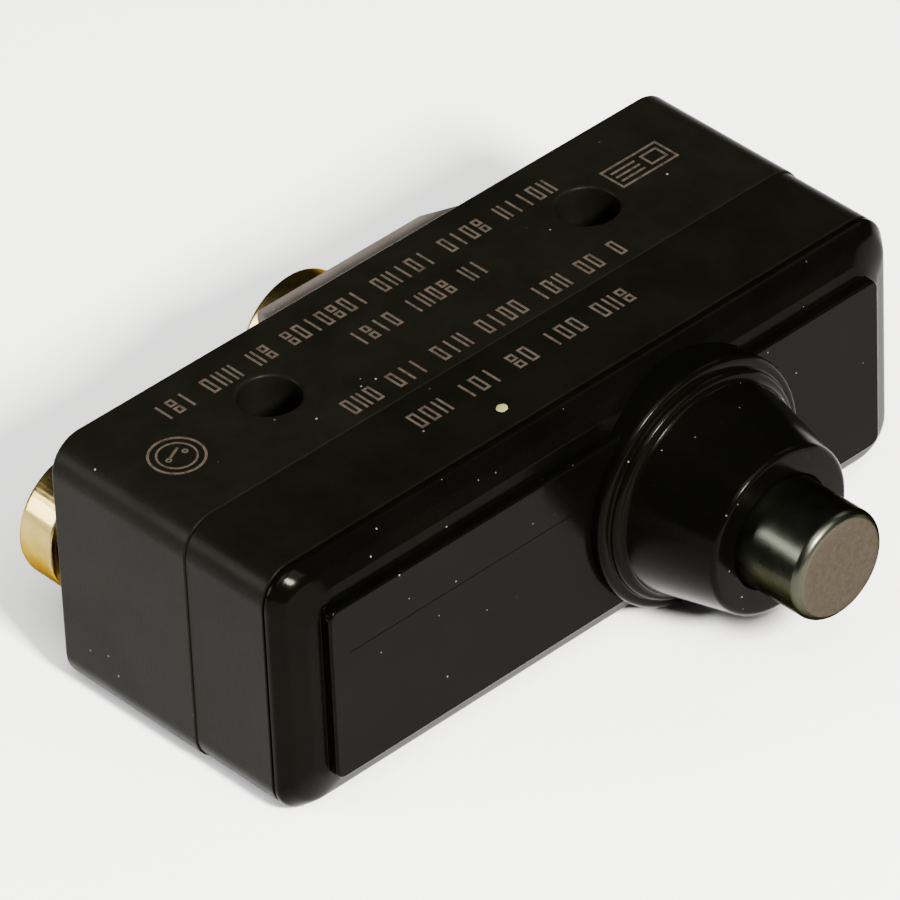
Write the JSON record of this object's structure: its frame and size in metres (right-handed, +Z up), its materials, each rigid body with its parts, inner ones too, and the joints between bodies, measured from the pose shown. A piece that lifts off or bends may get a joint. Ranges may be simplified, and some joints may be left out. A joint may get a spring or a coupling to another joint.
{
  "type": "limit switch",
  "caption": "Snap-action limit switch: moulded block case, stepped conical boss, overtravel plunger, screw terminals on the rear.",
  "frame": {"origin": "midway between the two mounting holes, on the wide face that the switch rests on", "axes": "+X along the case, -Y the way the plunger points, +Z up out of the wide face, along the mounting holes"},
  "size_m": [0.0494, 0.0399, 0.0174],
  "materials": {
    "base_phenolic": "moulded phenolic, satin",
    "case_phenolic": "moulded phenolic, satin",
    "cover_phenolic": "moulded phenolic, glossy",
    "insulator_grey": "grey moulded insulator, matte",
    "terminal_brass": "stamped brass",
    "screw_brass": "bright brass-plated steel",
    "washer_brass": "stamped brass",
    "zinc_steel": "zinc-plated",
    "rivet_steel": "plain steel",
    "contact_silver": "silver alloy",
    "plunger_steel": "turned steel, ground tip",
    "spring_steel": "spring steel wire",
    "pin_phenolic": "brown phenolic",
    "blade_copper": "beryllium copper strip"
  },
  "bodies": {
    "housing": {"terminal_base": "base_phenolic", "contact_case": "case_phenolic", "front_cover": "cover_phenolic", "centre_insulator": "insulator_grey", "common_terminal": "terminal_brass", "open_terminal": "terminal_brass", "closed_terminal": "terminal_brass", "common_screw": "screw_brass", "open_screw": "screw_brass", "closed_screw": "screw_brass", "common_washer": "washer_brass", "open_washer": "washer_brass", "closed_washer": "washer_brass", "case_screws": "zinc_steel", "blade_anchor": "terminal_brass", "anchor_rivet": "rivet_steel", "open_contact": "contact_silver", "closed_contact": "contact_silver"},
    "plunger": {"steel_plunger": "plunger_steel", "retaining_ring": "spring_steel", "return_spring": "spring_steel", "overtravel_spring": "spring_steel"},
    "pin": {"inner_pin": "pin_phenolic", "spring_seat": "rivet_steel"},
    "blade": {"snap_blade": "blade_copper", "moving_contact": "contact_silver"}
  },
  "joints": [
    {"name": "plunger_press", "type": "slide", "parent": "housing", "child": "plunger", "axis": [0, 1, 0], "range_m": [0, 0.0045], "stiffness_N_per_m": 900, "springref_m": -0.002, "deforming": ["return_spring", "overtravel_spring"]},
    {"name": "pin_press", "type": "slide", "parent": "housing", "child": "pin", "axis": [0, 1, 0], "range_m": [0, 0.00025]},
    {"name": "blade_rock", "type": "hinge", "parent": "housing", "child": "blade", "pos_m": [0.0134, -0.00845, 0.0087], "axis": [0, 0, -1], "range_deg": [0, 1.97]}
  ],
  "couplings": [
    {"joint": "pin_press", "follows": "plunger_press", "ratio": 0.052222},
    {"joint": "blade_rock", "follows": "plunger_press", "rad_per_m": 7.4074}
  ]
}
